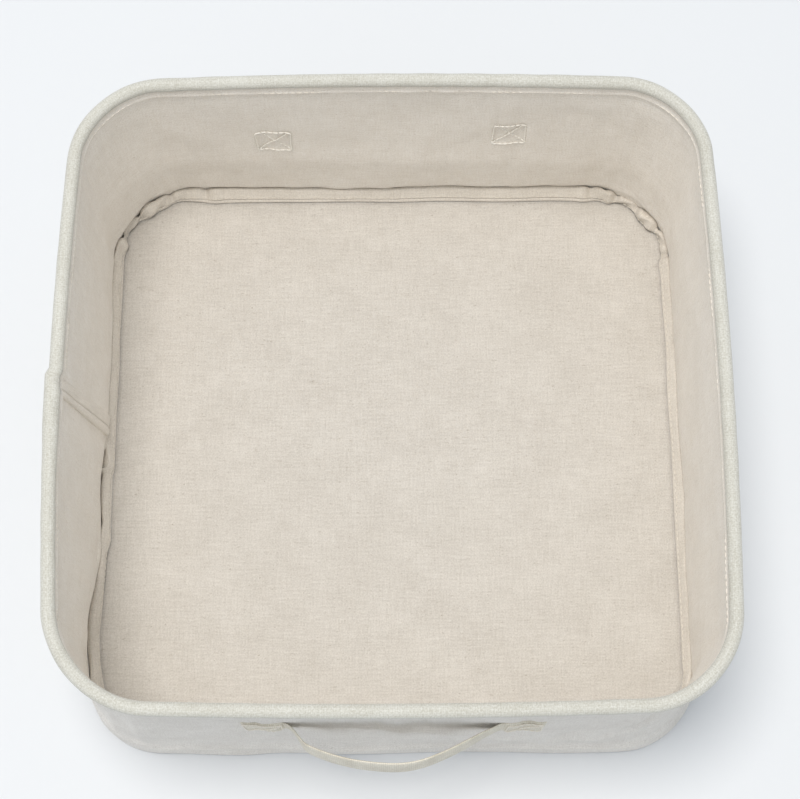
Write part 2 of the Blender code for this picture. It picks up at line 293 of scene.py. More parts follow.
# ---------------------------------------------------------------- mesh helpers
def make_object(name, vertices, faces, face_uv, materials, face_slot=None, sharp=None):
    """Mesh object in the scene; face_uv lists one place in metres for every corner of every face."""
    mesh = bpy.data.meshes.new(name)
    mesh.from_pydata([tuple(v) for v in vertices], [], [tuple(f) for f in faces])
    for material in materials:
        mesh.materials.append(material)
    if face_uv is not None:
        layer = mesh.uv_layers.new(name="cloth")
        layer.data.foreach_set("uv", np.asarray(face_uv, dtype=np.float32).reshape(-1))
    if face_slot is not None:
        mesh.polygons.foreach_set("material_index", np.asarray(face_slot, dtype=np.int32))
    mesh.shade_smooth()
    if sharp is not None:
        mesh.set_sharp_from_angle(angle=math.radians(sharp))
    mesh.update()
    thing = bpy.data.objects.new(name, mesh)
    bpy.context.scene.collection.objects.link(thing)
    return thing


def loft(name, rows, materials, closed_across=False, closed_along=True, row_slot=None, outward_hint=1,
         sharp=None, start=0.0):
    """Skin over rows of points: rows has the shape (rows, columns, 3). UVs are in metres.

    A tube that is not closed along its length gets a cap on each end.
    """
    rows = np.asarray(rows, dtype=float)
    count_rows, count_columns = rows.shape[:2]
    step_along = np.linalg.norm(np.diff(rows, axis=1), axis=2).mean(axis=0)
    along = np.concatenate([[0.0], np.cumsum(step_along)])
    if closed_along:
        closing = np.linalg.norm(rows[:, 0] - rows[:, -1], axis=1).mean()
        along = np.concatenate([along, [along[-1] + closing]])
    step_across = np.linalg.norm(np.diff(rows, axis=0), axis=2).mean(axis=1)
    across = start + np.concatenate([[0.0], np.cumsum(step_across)])
    if closed_across:
        closing = np.linalg.norm(rows[0] - rows[-1], axis=1).mean()
        across = np.concatenate([across, [across[-1] + closing]])
    row_index = np.arange(count_rows if closed_across else count_rows - 1)
    column_index = np.arange(count_columns if closed_along else count_columns - 1)
    r, c = np.meshgrid(row_index, column_index, indexing="ij")
    r, c = r.ravel(), c.ravel()
    r_next, c_next = (r + 1) % count_rows, (c + 1) % count_columns
    corners = [(r, c), (r, c_next), (r_next, c_next), (r_next, c)]
    uv_corners = [(r, c), (r, c + 1), (r + 1, c + 1), (r + 1, c)]
    if outward_hint < 0:
        corners.reverse()
        uv_corners.reverse()
    faces = np.stack([rr * count_columns + cc for rr, cc in corners], axis=1)
    uvs = np.stack([np.stack([along[cc], across[rr]], axis=1) for rr, cc in uv_corners], axis=1)
    slots = None if row_slot is None else np.asarray(row_slot)[r]
    faces, uvs = faces.tolist(), uvs.reshape(-1, 2)
    if closed_across and not closed_along:
        ring = np.arange(count_rows) * count_columns
        for cap in (ring, ring[::-1] + count_columns - 1):
            cap = cap[::-1] if outward_hint < 0 else cap
            faces.append(cap.tolist())
            uvs = np.concatenate([uvs, rows.reshape(-1, 3)[cap, 1:]])
    return make_object(name, rows.reshape(-1, 3), faces, uvs, materials, slots, sharp)


# ---------------------------------------------------------------- materials
class Nodes:
    """Short helper for building a node tree."""

    def __init__(self, name):
        self.material = bpy.data.materials.new(name)
        self.material.use_nodes = True
        self.tree = self.material.node_tree
        self.shader = self.tree.nodes["Principled BSDF"]

    def add(self, kind, **settings):
        node = self.tree.nodes.new(kind)
        for key, value in settings.items():
            setattr(node, key, value)
        return node

    def feed(self, value, socket):
        if isinstance(value, bpy.types.NodeSocket):
            self.tree.links.new(value, socket)
        else:
            socket.default_value = value

    def math(self, operation, first, second=0.0, third=0.0):
        node = self.add("ShaderNodeMath", operation=operation)
        for socket, value in zip(node.inputs, (first, second, third)):
            self.feed(value, socket)
        return node.outputs[0]

    def scaled(self, vector, scale):
        node = self.add("ShaderNodeVectorMath", operation="MULTIPLY")
        self.feed(vector, node.inputs[0])
        node.inputs[1].default_value = scale
        return node.outputs[0]

    def noise(self, vector, scale, detail=2.0, roughness=0.5):
        node = self.add("ShaderNodeTexNoise")
        self.feed(vector, node.inputs["Vector"])
        node.inputs["Scale"].default_value = scale
        node.inputs["Detail"].default_value = detail
        node.inputs["Roughness"].default_value = roughness
        return node.outputs["Fac"]

    def ramp(self, value, low, high):
        """0 below low, 1 above high."""
        node = self.add("ShaderNodeMapRange", clamp=True)
        self.feed(value, node.inputs["Value"])
        node.inputs["From Min"].default_value = low
        node.inputs["From Max"].default_value = high
        return node.outputs["Result"]

    def blend(self, share, first, second):
        node = self.add("ShaderNodeMix", data_type="RGBA")
        self.feed(share, node.inputs["Factor"])
        self.feed(first, node.inputs["A"])
        self.feed(second, node.inputs["B"])
        return node.outputs["Result"]

    def bump(self, height, strength, distance):
        node = self.add("ShaderNodeBump")
        self.feed(height, node.inputs["Height"])
        node.inputs["Strength"].default_value = strength
        node.inputs["Distance"].default_value = distance
        self.tree.links.new(node.outputs["Normal"], self.shader.inputs["Normal"])

    def weighted(self, first, share, second, other_share):
        """first * share + second * other_share."""
        parts = [self.math("MULTIPLY", value, part) for value, part in ((first, share), (second, other_share))]
        return self.math("ADD", *parts)

    def spread(self, place, x, y, z, detail, roughness=0.5):
        """Noise whose grain runs at x, y and z cycles per metre."""
        return self.noise(self.scaled(place, (x, y, z)), 1.0, detail, roughness)

    def finish(self, colour, **constants):
        """Base colour, and the shader's own constants by socket name, with _ for a space."""
        self.feed(colour, self.shader.inputs["Base Color"])
        for name, value in constants.items():
            self.shader.inputs[name.replace("_", " ")].default_value = value
        return self.material


def rgb(red, green, blue):
    """Linear colour from everyday 0 to 255 values."""
    return tuple(((value / 255.0) ** 2.2) for value in (red, green, blue)) + (1.0,)


def darker(colour, share):
    """The same colour, dimmed."""
    return tuple(channel * share for channel in colour[:3]) + (1.0,)


def woven(nodes, uv, yarn):
    """Height of a plain weave: warp and weft threads, a little wavy, that cross over each other in turn."""
    wander = nodes.spread(uv, 90.0, 90.0, 0.0, 1.0)
    split = nodes.add("ShaderNodeSeparateXYZ")
    nodes.feed(uv, split.inputs[0])
    across = nodes.math("MULTIPLY_ADD", wander, yarn * 1.2, split.outputs["X"])
    up = nodes.math("MULTIPLY_ADD", wander, yarn * 1.2, split.outputs["Y"])
    over = nodes.math("SINE", nodes.math("MULTIPLY", across, math.pi / yarn))
    under = nodes.math("SINE", nodes.math("MULTIPLY", up, math.pi / yarn))
    cross = nodes.ramp(nodes.math("MULTIPLY", over, under), -0.15, 0.15)
    warp, weft = nodes.math("ABSOLUTE", over), nodes.math("ABSOLUTE", under)
    return nodes.weighted(cross, warp, nodes.math("SUBTRACT", 1.0, cross), weft)


def canvas(name, light, dark, fleck, yarn=0.00085, fleck_share=1.0, grain_share=0.4, weave_shade_share=0.4):
    """Plain-woven cotton and linen: two thread directions, slubs, flecks and soft mottling, with painted shade
    in the hollows of the weave.
    """
    nodes = Nodes(name)
    uv = nodes.add("ShaderNodeUVMap", uv_map="cloth").outputs["UV"]
    weave = woven(nodes, uv, yarn)
    slub_across = nodes.spread(uv, 70.0, 780.0, 0.0, 3.0, 0.6)
    slub_up = nodes.spread(uv, 780.0, 70.0, 0.0, 3.0, 0.6)
    mottle = nodes.spread(uv, 26.0, 34.0, 0.0, 6.0, 0.7)
    grain = nodes.spread(uv, 1150.0, 950.0, 0.0, 2.0, 0.6)
    thread_shade = nodes.weighted(slub_across, 0.55, slub_up, 0.45)
    shade = nodes.weighted(thread_shade, 0.62, mottle, 0.38)
    shade = nodes.weighted(shade, 1.0 - grain_share, grain, grain_share)
    ground = nodes.blend(nodes.ramp(shade, 0.40, 0.60), dark, light)
    marks = (
        (nodes.spread(uv, 170.0, 900.0, 0.0, 4.0, 0.75), 0.60, 0.70, 0.40),  # long flecks
        (nodes.spread(uv, 260.0, 420.0, 40.0, 3.0, 0.6), 0.66, 0.74, 0.35),  # round nubs
        (nodes.spread(uv, 520.0, 620.0, 0.0, 2.0, 0.5), 0.70, 0.77, 0.50),  # fine specks
    )
    for pattern, low, high, strength in marks:
        share = nodes.math("MULTIPLY", nodes.ramp(pattern, low, high), strength * fleck_share)
        ground = nodes.blend(share, ground, fleck)
    # painted shade: the hollows between the crossing threads are darkened, as if shaded
    hollow = nodes.math("MULTIPLY", nodes.ramp(weave, 0.50, 0.05), weave_shade_share)
    ground = nodes.blend(hollow, ground, darker(dark, 0.74))
    nodes.bump(nodes.weighted(weave, 0.55, thread_shade, 0.75), 0.55, 0.00035)
    return nodes.finish(
        ground, Roughness=0.92, Specular_IOR_Level=0.18, Sheen_Weight=0.25, Sheen_Roughness=0.55
    )


def tape_cloth(name, light, dark, rib=0.0011, thread=0.0007):
    """Cotton tape: close ribs across the tape with a fine twill, and painted shade in the hollows between the
    ribs.
    """
    nodes = Nodes(name)
    uv = nodes.add("ShaderNodeUVMap", uv_map="cloth").outputs["UV"]
    split = nodes.add("ShaderNodeSeparateXYZ")
    nodes.feed(uv, split.inputs[0])
    ribs, threads = (
        nodes.math("ABSOLUTE", nodes.math("SINE", nodes.math("MULTIPLY", split.outputs[axis], turn)))
        for axis, turn in (("X", math.pi / rib), ("Y", math.pi / thread))
    )
    fuzz = nodes.spread(uv, 900.0, 700.0, 0.0, 3.0, 0.6)
    mottle = nodes.spread(uv, 120.0, 60.0, 0.0, 3.0, 0.6)
    ground = nodes.blend(nodes.ramp(nodes.weighted(fuzz, 0.5, mottle, 0.5), 0.38, 0.62), dark, light)
    # painted shade: the hollows between the ribs are darkened, as if shaded
    hollow = nodes.math("MULTIPLY", nodes.ramp(ribs, 0.45, 0.0), 0.45)
    ground = nodes.blend(hollow, ground, darker(dark, 0.72))
    nodes.bump(nodes.weighted(ribs, 0.7, threads, 0.3), 0.6, 0.0003)
    return nodes.finish(
        ground, Roughness=0.9, Specular_IOR_Level=0.2, Sheen_Weight=0.25, Sheen_Roughness=0.5
    )


def grained(nodes, fineness, detail, roughness=0.5):
    """Even grain on the object itself, at a fineness in cycles per metre."""
    place = nodes.add("ShaderNodeTexCoord").outputs["Object"]
    return nodes.spread(place, fineness, fineness, fineness, detail, roughness)


def thread_cloth(name, light, dark):
    """Twisted sewing thread."""
    nodes = Nodes(name)
    twist = grained(nodes, 2600.0, 2.0)
    nodes.bump(twist, 0.3, 0.0002)
    ground = nodes.blend(nodes.ramp(twist, 0.35, 0.65), dark, light)
    return nodes.finish(ground, Roughness=0.6, Sheen_Weight=0.3)


def board_material():
    """Grey pressed board."""
    nodes = Nodes("grey_board_look")
    fibres = grained(nodes, 260.0, 5.0, 0.7)
    nodes.bump(fibres, 0.25, 0.0004)
    ground = nodes.blend(nodes.ramp(fibres, 0.3, 0.7), rgb(140, 134, 124), rgb(176, 170, 158))
    return nodes.finish(ground, Roughness=0.85)


def wire_material():
    """Galvanised steel, duller and shinier in patches."""
    nodes = Nodes("galvanised_wire_look")
    spangle = grained(nodes, 420.0, 3.0, 0.6)
    nodes.bump(spangle, 0.15, 0.0002)
    nodes.feed(nodes.math("MULTIPLY_ADD", spangle, 0.25, 0.25), nodes.shader.inputs["Roughness"])
    ground = nodes.blend(nodes.ramp(spangle, 0.35, 0.65), rgb(150, 152, 154), rgb(186, 188, 190))
    return nodes.finish(ground, Metallic=1.0)


FLECK = rgb(166, 148, 126)
# The wall's lining and the base panel are one cloth: the lining is painted lighter as painted fill light, and
# the base is painted darker as painted shade.
LINING_PAINTED_LIGHTER = canvas("canvas_inside_painted_lighter", rgb(255, 250, 242), rgb(234, 226, 214), rgb(164, 146, 122))
BASE_CLOTH_PAINTED_DARKER = canvas("canvas_base_painted_darker", rgb(217, 212, 204), rgb(193, 187, 178), rgb(128, 112, 92))
OUTSIDE = canvas("canvas_outside", rgb(238, 234, 227), rgb(212, 206, 198), rgb(150, 138, 120))
# The hem is the wall's canvas folded over the wire, painted greyer and greener as painted sky light on the
# roll.
HEM_SKY_TINTED = canvas(
    "canvas_hem_sky_tinted", rgb(213, 212, 204), rgb(184, 181, 169), rgb(150, 140, 116),
    yarn=0.0011, fleck_share=0.7, grain_share=0.5, weave_shade_share=0.32,
)
BINDING = canvas("binding_cloth", rgb(232, 225, 214), rgb(208, 200, 188), FLECK, fleck_share=0.5)
# the seam band is painted as light as the lining, as painted fill light on the inside of the wall
SEAM_BAND_PAINTED_LIGHTER = canvas("seam_band_cloth_painted_lighter", rgb(252, 246, 236), rgb(228, 220, 208), FLECK, fleck_share=0.5)
TAPE = tape_cloth("cotton_tape_look", rgb(232, 226, 210), rgb(204, 196, 178))
THREAD = thread_cloth("sewing_thread_look", rgb(253, 250, 242), rgb(238, 232, 220))
SEAM_THREAD = thread_cloth("seam_thread_look", rgb(240, 234, 222), rgb(222, 214, 200))
BOARD = board_material()
WIRE = wire_material()


# ---------------------------------------------------------------- wall
def wall_heights():
    """Heights of the wall's rows: close together where the foot turns in, then even."""
    low = np.array([0.0004, 0.0010, 0.0020, 0.0034, 0.0052, 0.0082, 0.0112])
    high = np.linspace(FOOT_BAND, WALL_TOP, WALL_ROWS - len(low))
    return np.concatenate([low, high])


HEIGHTS = wall_heights()
BAND_ROW = int(np.argmin(np.abs(HEIGHTS - FOOT_BAND)))
OUTER_ROWS = np.array([wall_plan(height, 0.0) for height in HEIGHTS])
INNER_ROWS = np.array([wall_plan(height, CLOTH) for height in HEIGHTS])


SLACK_STEP = 2  # every second column is simulated
SLACK_FRAMES = 30
SLACK_LENGTH = -0.012  # the strip is cut this share too long
SLACK_LIMIT = 0.0030
SLACK_SHARE = 0.6


def held_points(count, last):
    """The two lowest and the two highest rows, which are sewn down."""
    return [list(range(first, first + count)) for first in (0, count, last - count, last)]


def relaxed(points):
    """The points of a closed strip of canvas after a short cloth simulation, applied."""
    sheet = loft("slack_trial", points, [])
    pins = sheet.vertex_groups.new(name="held")
    count = points.shape[1]
    for row in held_points(count, (points.shape[0] - 1) * count):
        pins.add(row, 1.0, "REPLACE")
    cloth = sheet.modifiers.new("cloth", "CLOTH")
    settings = cloth.settings
    settings.vertex_group_mass = "held"
    settings.mass = 0.4
    settings.quality = 6
    settings.tension_stiffness = 12.0
    settings.compression_stiffness = 12.0
    settings.shear_stiffness = 6.0
    settings.bending_stiffness = 1.5
    settings.shrink_min = SLACK_LENGTH
    settings.shrink_max = SLACK_LENGTH
    cloth.point_cache.frame_start = 1
    cloth.point_cache.frame_end = SLACK_FRAMES + 10
    for number in range(1, SLACK_FRAMES + 1):
        bpy.context.scene.frame_set(number)
    shown = sheet.evaluated_get(bpy.context.evaluated_depsgraph_get())
    found = np.zeros(len(shown.data.vertices) * 3)
    shown.data.vertices.foreach_get("co", found)
    bpy.context.scene.frame_set(1)
    bpy.data.objects.remove(sheet, do_unlink=True)
    return found.reshape(points.shape)


def simulated_slack():
    """How far each point of the wall between its rim and its foot settles."""
    rows = 0.5 * (OUTER_ROWS + INNER_ROWS)
    picked = list(range(BAND_ROW - 1, len(HEIGHTS)))
    coarse = rows[picked][:, ::SLACK_STEP]
    moved = relaxed(coarse) - coarse
    wrapped = np.concatenate([moved, moved[:, :1]], axis=1)
    places = np.arange(0, COLUMNS + 1, SLACK_STEP)
    full = np.zeros_like(rows)
    for index, row in enumerate(picked):
        for axis in range(3):
            full[row, :, axis] = np.interp(np.arange(COLUMNS), places, wrapped[index, :, axis])
    return full


def settle_wall():
    """Adds the capped result of the simulation to both faces of the wall."""
    slack = simulated_slack()
    out = (slack[:, :, :2] * NORMAL[None]).sum(axis=2)
    out = SLACK_LIMIT * np.tanh(out * SLACK_SHARE / SLACK_LIMIT)
    for rows in (OUTER_ROWS, INNER_ROWS):
        rows[:, :, :2] += out[:, :, None] * NORMAL[None]


settle_wall()


def across_wall(rows, columns, axis, at, height):
    """Where some columns of the wall stand, at places given by height and along an axis (0 is x, 1 is y)."""
    level = np.interp(height, HEIGHTS, np.arange(len(HEIGHTS)))
    low = np.clip(level.astype(int), 0, len(HEIGHTS) - 2)
    share = level - low
    found = np.empty(len(at))
    for index in range(len(at)):
        lower, upper = rows[low[index], columns], rows[low[index] + 1, columns]
        line = lower + (upper - lower) * share[index]
        order = np.argsort(line[:, axis])
        found[index] = np.interp(at[index], line[order, axis], line[order, 1 - axis])
    return found


def wall_at(side, x, height, off, inner=False):
    """Points of the front (-1) or back (+1) wall at given x, off its face in metres, plus is outwards."""
    x = np.atleast_1d(np.asarray(x, dtype=float))
    height = np.broadcast_to(np.asarray(height, dtype=float), x.shape)
    columns = np.where((side * FOOT_LINE[:, 1] > 0.12) & (np.abs(FOOT_LINE[:, 0]) < 0.12))[0]
    y = across_wall(INNER_ROWS if inner else OUTER_ROWS, columns, 0, x, height)
    return np.column_stack([x, y + side * off, height])


def left_wall_x(y, height):
    """X of the left wall's inner face at places given by y and height."""
    columns = np.where((np.abs(FOOT_LINE[:, 1]) < 0.09) & (FOOT_LINE[:, 0] < 0.0))[0]
    return across_wall(INNER_ROWS, columns, 1, y, height)


def wall_piece(name, first, last):
    """One height band of the wall, closed where it meets the other band."""
    rows = np.concatenate([OUTER_ROWS[first:last], INNER_ROWS[first:last][::-1]])
    count = last - first
    slots = [0] * (count - 1) + [1] * (count + 1)
    looks = [OUTSIDE, LINING_PAINTED_LIGHTER]
    wall = loft(name, rows, looks, closed_across=True, row_slot=slots, sharp=60, start=HEIGHTS[first])
    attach(wall, "bin_base")
    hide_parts("wall_panel")
    return wall


def make_wall():
    """The band round the base and the wall above it, as two pieces that meet at the band's top row."""
    wall_piece("canvas_wall_foot", 0, BAND_ROW + 1)
    wall = wall_piece("canvas_wall", BAND_ROW, len(HEIGHTS))
    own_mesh(wall)


# ---------------------------------------------------------------- rim
RIM_DRIFT = drift(31, (20, 70), tallest=1)
LAP_LENGTH = 0.020
LAP_FADE = 0.030
LAP_CLOTH = 0.0006
ROLL_STEPS = 23
OUTER_LOOPS = ROLL_STEPS + 1  # loops of the rim's section that show the outer cloth


def rim_line():
    """Middle line of the rolled rim, which steps outwards where the hem's end laps over its start."""
    line = FOOT_LINE + (TOP_LINE - FOOT_LINE) * (ROLL_CENTRE / RIM_TOP)
    return line + outward(line) * (LAP_SHIFT * LAP_STEP - HALF_CLOTH)[:, None]


def lap_at(turn):
    """Extra cloth of the lap: it starts on the outside and crosses to the inside a little later."""
    gap = LAP_GAP - 0.008 * turn
    return smooth((gap + 0.0006) / 0.0012) * (1.0 - smooth((gap - LAP_LENGTH) / LAP_FADE))


def rim_profile():
    """Section of the rim as (out, up, 1 on the roll and 0 on the two legs below it)."""
    low = HEM_BOTTOM - ROLL_CENTRE
    leg = HALF_CLOTH + 0.0010
    outer, inner = leg - TOP_TUCK, -leg - TOP_TUCK
    profile = [(outer - 0.0003, low, 0.0), (outer + 0.0001, low + 0.0005, 0.0), (outer, low + 0.0024, 0.0)]
    for angle in np.radians(np.linspace(-50.0, 230.0, ROLL_STEPS)):
        profile.append((ROLL_RADIUS * math.cos(angle), ROLL_RADIUS * math.sin(angle), 1.0))
    profile += [(inner, low + 0.0024, 0.0), (inner - 0.0001, low + 0.0005, 0.0), (inner + 0.0003, low, 0.0)]
    return profile


def make_rim():
    """Hem folded over the wire, with the step where its end laps over its beginning."""
    line = rim_line()
    normal = outward(line)
    lumps = 1.0 + 0.030 * RIM_DRIFT(ROUND, 0.3)
    loops = []
    for out, up, body in rim_profile():
        lap = lap_at(0.5 - 0.5 * out / ROLL_RADIUS)
        thicker = (1.0 if up > -0.002 else np.sign(out + TOP_TUCK)) * lap * LAP_CLOTH
        grow = 1.0 + body * (lumps - 1.0) + body * lap * LAP_CLOTH / ROLL_RADIUS
        ripple = 0.00020 * RIM_DRIFT(ROUND, 0.8) * (1.0 - body)
        offset = out * grow + (1.0 - body) * thicker + ripple
        flat = line + normal * offset[:, None]
        loops.append(np.column_stack([flat, ROLL_CENTRE + up * grow]))
    slots = [0 if number < OUTER_LOOPS else 1 for number in range(len(loops))]
    rim = loft("rolled_rim", loops, [HEM_SKY_TINTED, LINING_PAINTED_LIGHTER], closed_across=True, row_slot=slots)
    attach(rim, "rim")
    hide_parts("rim_hem", "rim_hem_overlap")


def make_wire():
    """Wire hoop in the roll, and the sleeve crimped over its two ends."""
    line = rim_line()
    normal = outward(line)
    for name, node, radius, from_turn, to_turn in (
        ("rim_wire_hoop", "rim_wire", 0.0016, 0, COLUMNS),
        ("rim_wire_sleeve", "rim_wire_ferrule", 0.0026, COLUMNS - 8, COLUMNS + 4),
    ):
        closed = to_turn - from_turn == COLUMNS
        picked = np.arange(from_turn, to_turn) % COLUMNS
        loops = []
        for angle in np.radians(np.arange(0.0, 360.0, 30.0)):
            flat = line[picked] + normal[picked] * radius * math.cos(angle)
            loops.append(level_row(flat, ROLL_CENTRE + radius * math.sin(angle)))
        wire = loft(name, loops, [WIRE], closed_across=True, closed_along=closed)
        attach(wire, "rim")
        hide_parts(node)


# ---------------------------------------------------------------- stitches
THREAD_SIDES = 6
# A thread's rings as (share of its length, share of its radius).
BEAD = ((0.0, 0.35), (0.12, 0.85), (0.5, 1.0), (0.88, 0.85), (1.0, 0.35))
STITCH_PITCH = 0.0036


def bead_points(start, end, up, radius, rise):
    """Rings of points along one arched thread."""
    start, end, up = Vector(start), Vector(end), Vector(up).normalized()
    side = (end - start).normalized().cross(up).normalized()
    points = []
    for share, size in BEAD:
        middle = start.lerp(end, share) + up * rise * math.sin(math.pi * share)
        for turn in range(THREAD_SIDES):
            angle = 2.0 * math.pi * turn / THREAD_SIDES
            points.append(middle + (side * math.cos(angle) + up * math.sin(angle)) * radius * size)
    return points


def bead_faces(base):
    """Faces of one thread whose first point has the number base."""
    faces = []
    for ring in range(len(BEAD) - 1):
        first = base + ring * THREAD_SIDES
        for turn in range(THREAD_SIDES):
            after = (turn + 1) % THREAD_SIDES
            above = first + THREAD_SIDES
            faces.append((first + turn, first + after, above + after, above + turn))
    last = base + (len(BEAD) - 1) * THREAD_SIDES
    faces.append(tuple(base + turn for turn in reversed(range(THREAD_SIDES))))
    faces.append(tuple(last + turn for turn in range(THREAD_SIDES)))
    return faces


def stitch_mesh(name, ends, radius, material, body, rise=0.0004):
    """Many short threads, each a small arched bead between two points; ends holds (start, end, up)."""
    vertices, faces = [], []
    for start, end, up in ends:
        faces += bead_faces(len(vertices))
        vertices += bead_points(start, end, up, radius, rise)
    thing = make_object(name, vertices, faces, None, [material])
    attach(thing, body)
    return thing


def make_rim_stitches():
    """One row of lockstitch under the roll, seen from both sides."""
    line = rim_line()
    normal = outward(line)
    height = HEM_BOTTOM + 0.0020
    for place, side in (("outer", 1.0), ("inner", -1.0)):
        sunk = 0.00034 * smooth(0.75 + drift(33, (6, 26), tallest=1)(ROUND, 0.5))
        flat = line + normal * (side * (HALF_CLOTH + 0.0011 - sunk) - TOP_TUCK)[:, None]
        rows = level_row(flat, height)
        ups = level_row(normal * side, 0.0)
        ends = stitches_along(rows, STITCH_PITCH, ups)
        stitch_mesh(f"rim_stitches_{place}", ends, 0.00028, SEAM_THREAD, "rim", rise=0.0001)


def box_lines(low, high, hand):
    """Threads of one sewn box, slightly crooked, as (start, end) pairs in x and z."""
    left, right = (low.x, high.x)
    tilt = 0.0006 * hand
    corners = [(left, low.z), (right, low.z + tilt), (right - tilt, high.z), (left + tilt, high.z - tilt)]
    lines = [(corners[i], corners[(i + 1) % 4]) for i in range(4)]
    lines.append((corners[0], corners[2]))
    lines.append((corners[3], corners[1]))
    return lines


def sewn_line(side, start, end, off, inner):
    """Stitches between two places on a wall: (start, end, up) of each thread."""
    length = math.hypot(end[0] - start[0], end[1] - start[1])
    count = max(2, round(length / 0.0032))
    up = (0.0, -side if inner else side, 0.0)
    stitches = []
    for number in range(count):
        shares = np.array([number + 0.04, number + 0.96]) / count
        x = start[0] + (end[0] - start[0]) * shares
        z = start[1] + (end[1] - start[1]) * shares
        first, second = wall_at(side, x, z, off, inner)
        stitches.append((tuple(first), tuple(second), up))
    return stitches


BOX_SINK = 0.00055  # the second diagonal is pressed deeper into the cloth
BOX_THREAD = 0.00044
LAST_DIAGONAL = 5
BOX_FACES = (
    ("inside", True, -0.0006, THREAD),
    ("outside", False, TAB_THICK - TAB_SINK + 0.0001, SEAM_THREAD),
)


def box_threads(node, side, hand, inner, off):
    """All the threads of one sewn box on one face of the wall."""
    low, high = [Vector(corner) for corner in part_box(node)]
    lift = float(sewn_lift(side, hand * BOX_MIDDLE_X))
    ends = []
    for number, (start, end) in enumerate(box_lines(low, high, hand)):
        start, end = (start[0], start[1] + lift), (end[0], end[1] + lift)
        sunk = BOX_SINK if number == LAST_DIAGONAL else 0.0
        ends += sewn_line(side, start, end, off + sunk if inner else off - sunk, inner)
    return ends


def make_box_stitches():
    """Box with both diagonals that holds each tape end, on both faces of the wall."""
    for place, side in (("front", -1.0), ("back", 1.0)):
        for hand_name, hand in (("left", -1.0), ("right", 1.0)):
            node = f"{place}_{hand_name}_box_stitch"
            for face, inner, off, thread in BOX_FACES:
                ends = box_threads(node, side, hand, inner, off)
                name = f"{node}es_{face}"
                stitches = stitch_mesh(name, ends, BOX_THREAD, thread, f"{place}_tabs", rise=0.0002)
                if face == "inside":
                    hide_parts(node)


# ---------------------------------------------------------------- base
FLOOR_DRIFT = drift(41, (3, 9), tallest=3)
SEAM_FOOT = 0.0087
SEAM_EDGE_Z = 0.0132
SEAM_FOOT_Z = FLOOR_TOP + 0.0004
BINDING_HALF = 0.00115
PANEL_CLOTH = 0.0006
FOOT_NORMAL = outward(FOOT_LINE)

# A pucker is (x, y, depth, half width): the binding is pinched and steps sideways there.
PUCKERS = (
    (-0.165, 0.140, 0.0025, 0.0050),
    (-0.157, 0.153, -0.0024, 0.0060),
    (-0.137, 0.164, 0.0019, 0.0070),
    (-0.116, 0.168, -0.0010, 0.0060),
    (0.124, 0.168, 0.0008, 0.0050),
    (0.140, 0.165, 0.0023, 0.0045),
    (0.153, 0.157, -0.0026, 0.0060),
    (0.161, 0.141, 0.0024, 0.0055),
    (0.166, 0.125, -0.0014, 0.0050),
    (0.150, -0.160, 0.0022, 0.0060),
    (0.163, -0.140, -0.0022, 0.0060),
    (-0.152, -0.160, -0.0019, 0.0060),
    (-0.135, -0.166, 0.0014, 0.0060),
)


FINE = 2 * COLUMNS


def finer(values):
    """The same periodic values on twice as many columns."""
    values = np.asarray(values, dtype=float)
    wrapped = np.concatenate([values, values[:1]])
    at = np.arange(FINE) * COLUMNS / FINE
    index = np.arange(COLUMNS + 1)
    if values.ndim == 1:
        return np.interp(at, index, wrapped)
    return np.stack([np.interp(at, index, wrapped[:, axis]) for axis in range(values.shape[1])], axis=1)


SEAM_LINE = finer(FOOT_LINE)
SEAM_NORMAL = finer(FOOT_NORMAL)
SEAM_ROUND = np.arange(FINE) / FINE
SEAM_WAVE = drift(51, (8, 30), tallest=1)(SEAM_ROUND, 0.2)
SEAM_FINE = drift(61, (60, 150), tallest=1)(SEAM_ROUND, 0.1)


GATHER_DEPTH = 0.0008
GATHER_SLANT = 4.5
GATHER_TURN = 2.0 * math.pi * round(GIRTH / 0.016) * SEAM_ROUND


def left_side(start, end, soft_start, soft_end):
    """1 along the left side between two y places (start is further back), fading over soft metres."""
    y = SEAM_LINE[:, 1]
    window = smooth((start - y) / soft_start) * smooth((y - end) / soft_end)
    return window * (SEAM_LINE[:, 0] < -0.12)


def back_corners():
    """1 on the two back corners of the base, where the binding is gathered."""
    normal = SEAM_NORMAL
    return smooth((np.minimum(np.abs(normal[:, 0]), normal[:, 1]) - 0.02) / 0.45)


def pucker_steps():
    """Sideways step, crease and puff of the binding, each per fine column."""
    step, crease, puff = np.zeros(FINE), np.zeros(FINE), np.zeros(FINE)
    for x, y, depth, half in PUCKERS:
        gap = around_gap(SEAM_ROUND, turn_at(x, y))
        run = gap / half
        step += depth * run * np.exp(0.5 - 0.5 * run**2)
        crease += np.exp(-((gap / 0.0019) ** 2)) * min(1.0, abs(depth) / 0.0016)
        puff += np.exp(-((np.abs(run) - 1.1) ** 2) / 0.3)
    return step, np.minimum(crease, 1.0), np.minimum(puff, 1.0)


def wall_inset(height):
    """How far inside the foot's outline the wall's inner face stands at one height, per fine column."""
    level = float(np.interp(height, HEIGHTS, np.arange(len(HEIGHTS))))
    low = int(level)
    line = INNER_ROWS[low] + (INNER_ROWS[low + 1] - INNER_ROWS[low]) * (level - low)
    return finer(((FOOT_LINE - line[:, :2]) * FOOT_NORMAL).sum(axis=1))


